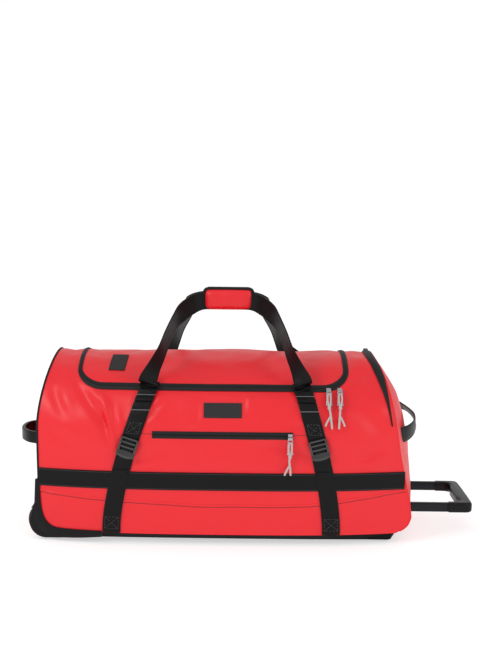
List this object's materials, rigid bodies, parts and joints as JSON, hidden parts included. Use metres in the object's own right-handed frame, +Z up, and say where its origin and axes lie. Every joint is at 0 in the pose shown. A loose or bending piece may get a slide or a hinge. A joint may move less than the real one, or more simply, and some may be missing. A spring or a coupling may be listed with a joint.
{
  "type": "rolling duffel bag",
  "caption": "Large wheeled duffel with a hinged zip lid, carry handles, a webbing band, a moulded base and a pull-out trolley.",
  "frame": {"origin": "on the floor, under the centre of the overall box", "axes": "+X from the wheels to the trolley grip, -Y the front with the pocket, +Z up"},
  "size_m": [0.9835, 0.3831, 0.529],
  "materials": {
    "red_tarpaulin": "coated",
    "black_webbing": "woven",
    "zip_tape": "woven",
    "black_plastic": "moulded",
    "rubber": "matte",
    "black_aluminium": "anodised",
    "nickel": "plated",
    "steel": "plain",
    "pale_cord": "braided",
    "board": "plain"
  },
  "bodies": {
    "bag": {"front_panel": "red_tarpaulin", "rear_panel": "red_tarpaulin", "top_panel_left": "red_tarpaulin", "top_panel_right": "red_tarpaulin", "wheel_end_panel": "red_tarpaulin", "top_end_panel": "red_tarpaulin", "body_zip_tape": "zip_tape", "pocket_zip_tape": "zip_tape", "end_zip_tape": "zip_tape", "side_band_front": "black_webbing", "side_band_rear": "black_webbing", "front_strap_left": "black_webbing", "front_strap_right": "black_webbing", "rear_strap_left": "black_webbing", "rear_strap_right": "black_webbing", "top_end_handle": "black_webbing", "base_tray": "black_plastic", "wheel_housing_near": "black_plastic", "wheel_housing_far": "black_plastic", "tube_bracket": "black_plastic", "tube_collar": "black_plastic", "buckle_left": "black_plastic", "buckle_right": "black_plastic", "wheel_end_handle": "black_plastic", "outer_tube_near": "black_aluminium", "outer_tube_far": "black_aluminium", "axle_near": "steel", "axle_far": "steel", "floor_board": "board"},
    "lid": {"lid_panel": "red_tarpaulin", "lid_zip_tape": "zip_tape"},
    "front_handle": {"front_handle": "black_webbing", "grip_wrap": "red_tarpaulin"},
    "rear_handle": {"rear_handle": "black_webbing", "grip_wrap_rear": "red_tarpaulin"},
    "wheel_near": {"tyre_near": "rubber", "wheel_hub_near": "black_plastic", "wheel_bearing_near": "steel"},
    "wheel_far": {"tyre_far": "rubber", "wheel_hub_far": "black_plastic", "wheel_bearing_far": "steel"},
    "trolley": {"inner_tube_near": "black_aluminium", "inner_tube_far": "black_aluminium", "trolley_grip": "black_plastic", "button_spring": "steel"},
    "grip_button": {"grip_button": "black_plastic", "push_rod_near": "steel", "push_rod_far": "steel"},
    "lock_pin_near": {"lock_pin_near": "steel"},
    "lock_pin_far": {"lock_pin_far": "steel"},
    "main_slider_left": {"main_slider_left": "nickel"},
    "main_slider_right": {"main_slider_right": "nickel"},
    "main_puller_left": {"main_puller_left": "nickel", "main_pull_cord_left": "pale_cord"},
    "main_puller_right": {"main_puller_right": "nickel", "main_pull_cord_right": "pale_cord"},
    "pocket_slider": {"pocket_slider": "nickel"},
    "pocket_puller": {"pocket_puller": "nickel", "pocket_pull_cord": "pale_cord"},
    "end_slider": {"end_slider": "nickel"}
  },
  "joints": [
    {"name": "trolley_slide", "type": "slide", "parent": "bag", "child": "trolley", "axis": [1, 0, 0], "range_m": [-0.06, 0.27]},
    {"name": "button_press", "type": "slide", "parent": "trolley", "child": "grip_button", "axis": [-1, 0, 0], "range_m": [0, 0.005], "stiffness_N_per_m": 900, "springref_m": -0.004, "deforming": ["button_spring"]},
    {"name": "lock_pin_near_draw", "type": "slide", "parent": "trolley", "child": "lock_pin_near", "axis": [0, 1, 0], "range_m": [0, 0.0028]},
    {"name": "lock_pin_far_draw", "type": "slide", "parent": "trolley", "child": "lock_pin_far", "axis": [0, -1, 0], "range_m": [0, 0.0028]},
    {"name": "wheel_spin_near", "type": "hinge", "parent": "bag", "child": "wheel_near", "pos_m": [-0.421, -0.119, 0.04], "axis": [0, 1, 0], "continuous": true},
    {"name": "wheel_spin_far", "type": "hinge", "parent": "bag", "child": "wheel_far", "pos_m": [-0.421, 0.119, 0.04], "axis": [0, 1, 0], "continuous": true},
    {"name": "lid_open", "type": "hinge", "parent": "bag", "child": "lid", "pos_m": [-0.0525, 0.11019, 0.361], "axis": [-1, 0, 0], "range_deg": [0, 100]},
    {"name": "front_handle_fall", "type": "hinge", "parent": "bag", "child": "front_handle", "pos_m": [-0.0525, -0.16963, 0.30336], "axis": [1, 0, 0], "range_deg": [0, 150]},
    {"name": "rear_handle_fall", "type": "hinge", "parent": "bag", "child": "rear_handle", "pos_m": [-0.0525, 0.16963, 0.30336], "axis": [-1, 0, 0], "range_deg": [0, 150]},
    {"name": "main_slider_left_run", "type": "slide", "parent": "bag", "child": "main_slider_left", "axis": [0.9962, 0.0872, 0], "range_m": [-0.016, 0]},
    {"name": "main_slider_right_run", "type": "slide", "parent": "bag", "child": "main_slider_right", "axis": [0.9962, 0.0872, 0], "range_m": [0, 0.006]},
    {"name": "main_puller_left_swing", "type": "hinge", "parent": "main_slider_left", "child": "main_puller_left", "pos_m": [0.16942, -0.15177, 0.33174], "axis": [1, 0, 0], "range_deg": [-150, 0]},
    {"name": "main_puller_right_swing", "type": "hinge", "parent": "main_slider_right", "child": "main_puller_right", "pos_m": [0.19251, -0.15013, 0.3317], "axis": [1, 0, 0], "range_deg": [-150, 0]},
    {"name": "pocket_slider_run", "type": "slide", "parent": "bag", "child": "pocket_slider", "axis": [1, 0, 0], "range_m": [-0.27, 0]},
    {"name": "pocket_puller_swing", "type": "hinge", "parent": "pocket_slider", "child": "pocket_puller", "pos_m": [0.0905, -0.19383, 0.239], "axis": [1, 0, 0], "range_deg": [-165, 0]},
    {"name": "end_slider_run", "type": "slide", "parent": "bag", "child": "end_slider", "axis": [0, 1, 0], "range_m": [-0.006, 0.012]}
  ],
  "couplings": [
    {"joint": "front_handle_fall", "follows": "lid_open", "ratio": 1.5},
    {"joint": "rear_handle_fall", "follows": "lid_open", "ratio": 1.5},
    {"joint": "lock_pin_near_draw", "follows": "button_press", "ratio": 0.56},
    {"joint": "lock_pin_far_draw", "follows": "button_press", "ratio": 0.56}
  ]
}
